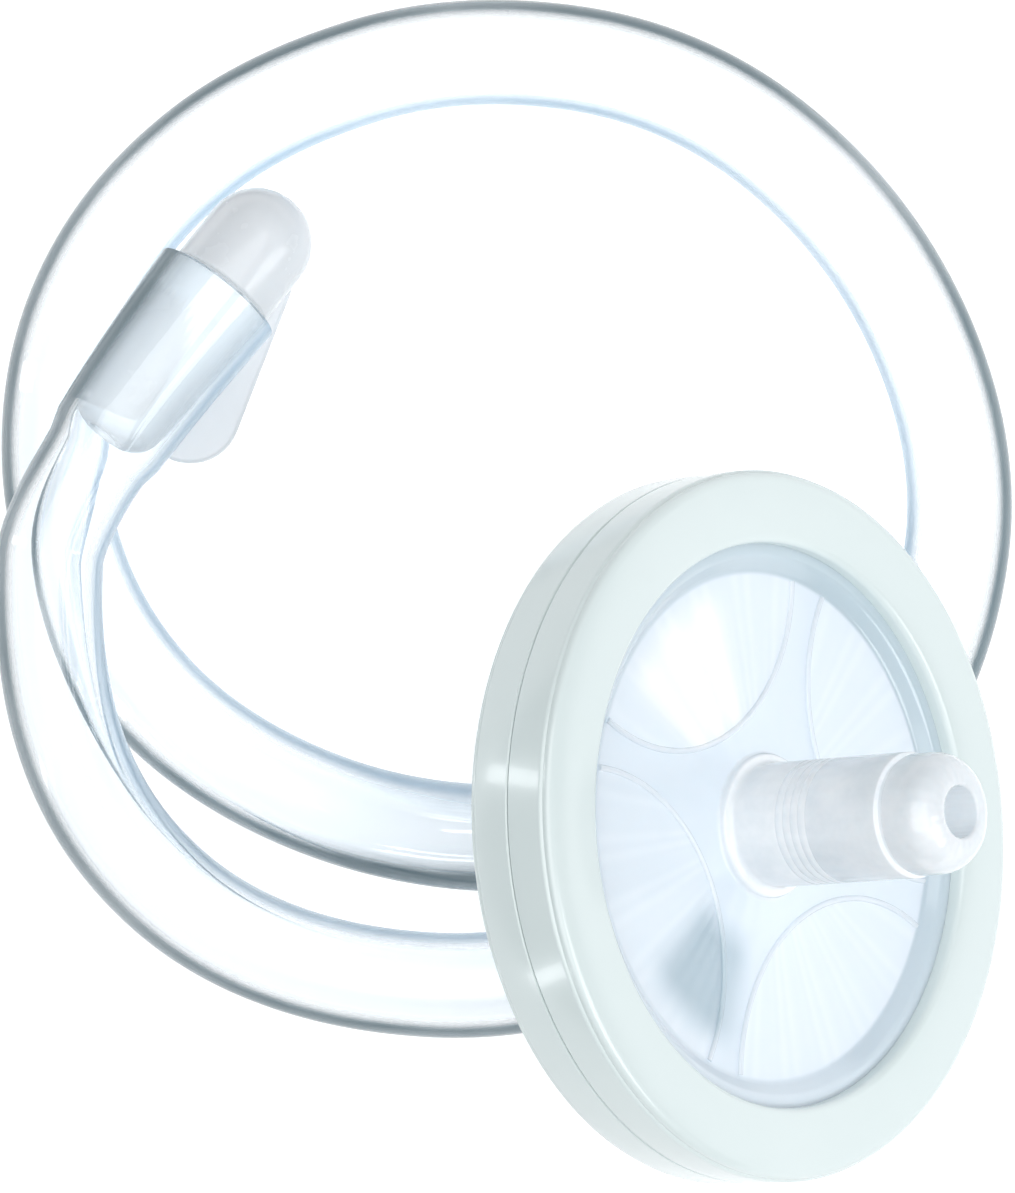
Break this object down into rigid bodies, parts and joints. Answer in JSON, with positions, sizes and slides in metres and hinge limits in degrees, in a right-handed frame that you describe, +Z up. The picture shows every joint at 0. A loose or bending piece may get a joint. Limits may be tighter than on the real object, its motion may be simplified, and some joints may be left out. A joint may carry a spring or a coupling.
{
  "type": "in-line air filter with hose",
  "caption": "Disc-shaped in-line air filter with a hollow front nozzle and a clear hose that lies in a loop and ends in a capped connector.",
  "frame": {"origin": "middle of the filter disc, on its axis and at half its thickness", "axes": "+Z is up from the surface the hose lies on, and +Y runs along the disc's uphill-to-downhill edge line, square to its lean; the disc's axis leans 47.7 degrees from +Z, 6.2 degrees round from +X"},
  "size_m": [0.0964, 0.1099, 0.0627],
  "materials": {
    "white_ring": "polished white",
    "milky_cover": "glossy translucent",
    "fleece": "matt fleece",
    "membrane": "matt",
    "seal": "matt",
    "clear_hose": "polished clear",
    "milky_connector": "glossy translucent"
  },
  "bodies": {
    "filter": {"front_ring": "white_ring", "back_ring": "white_ring", "inlet_cover": "milky_cover", "outlet_cover": "milky_cover", "prefilter_layer": "fleece", "membrane": "membrane", "backing_layer": "fleece", "seal_ring": "seal", "tubing": "clear_hose", "end_connector": "milky_connector"},
    "cap": {"end_cap": "milky_connector"}
  },
  "joints": [
    {"name": "cap_pull", "type": "slide", "parent": "filter", "child": "cap", "axis": [0.6002, 0.7723, -0.2081], "range_m": [0, 0.006]}
  ]
}
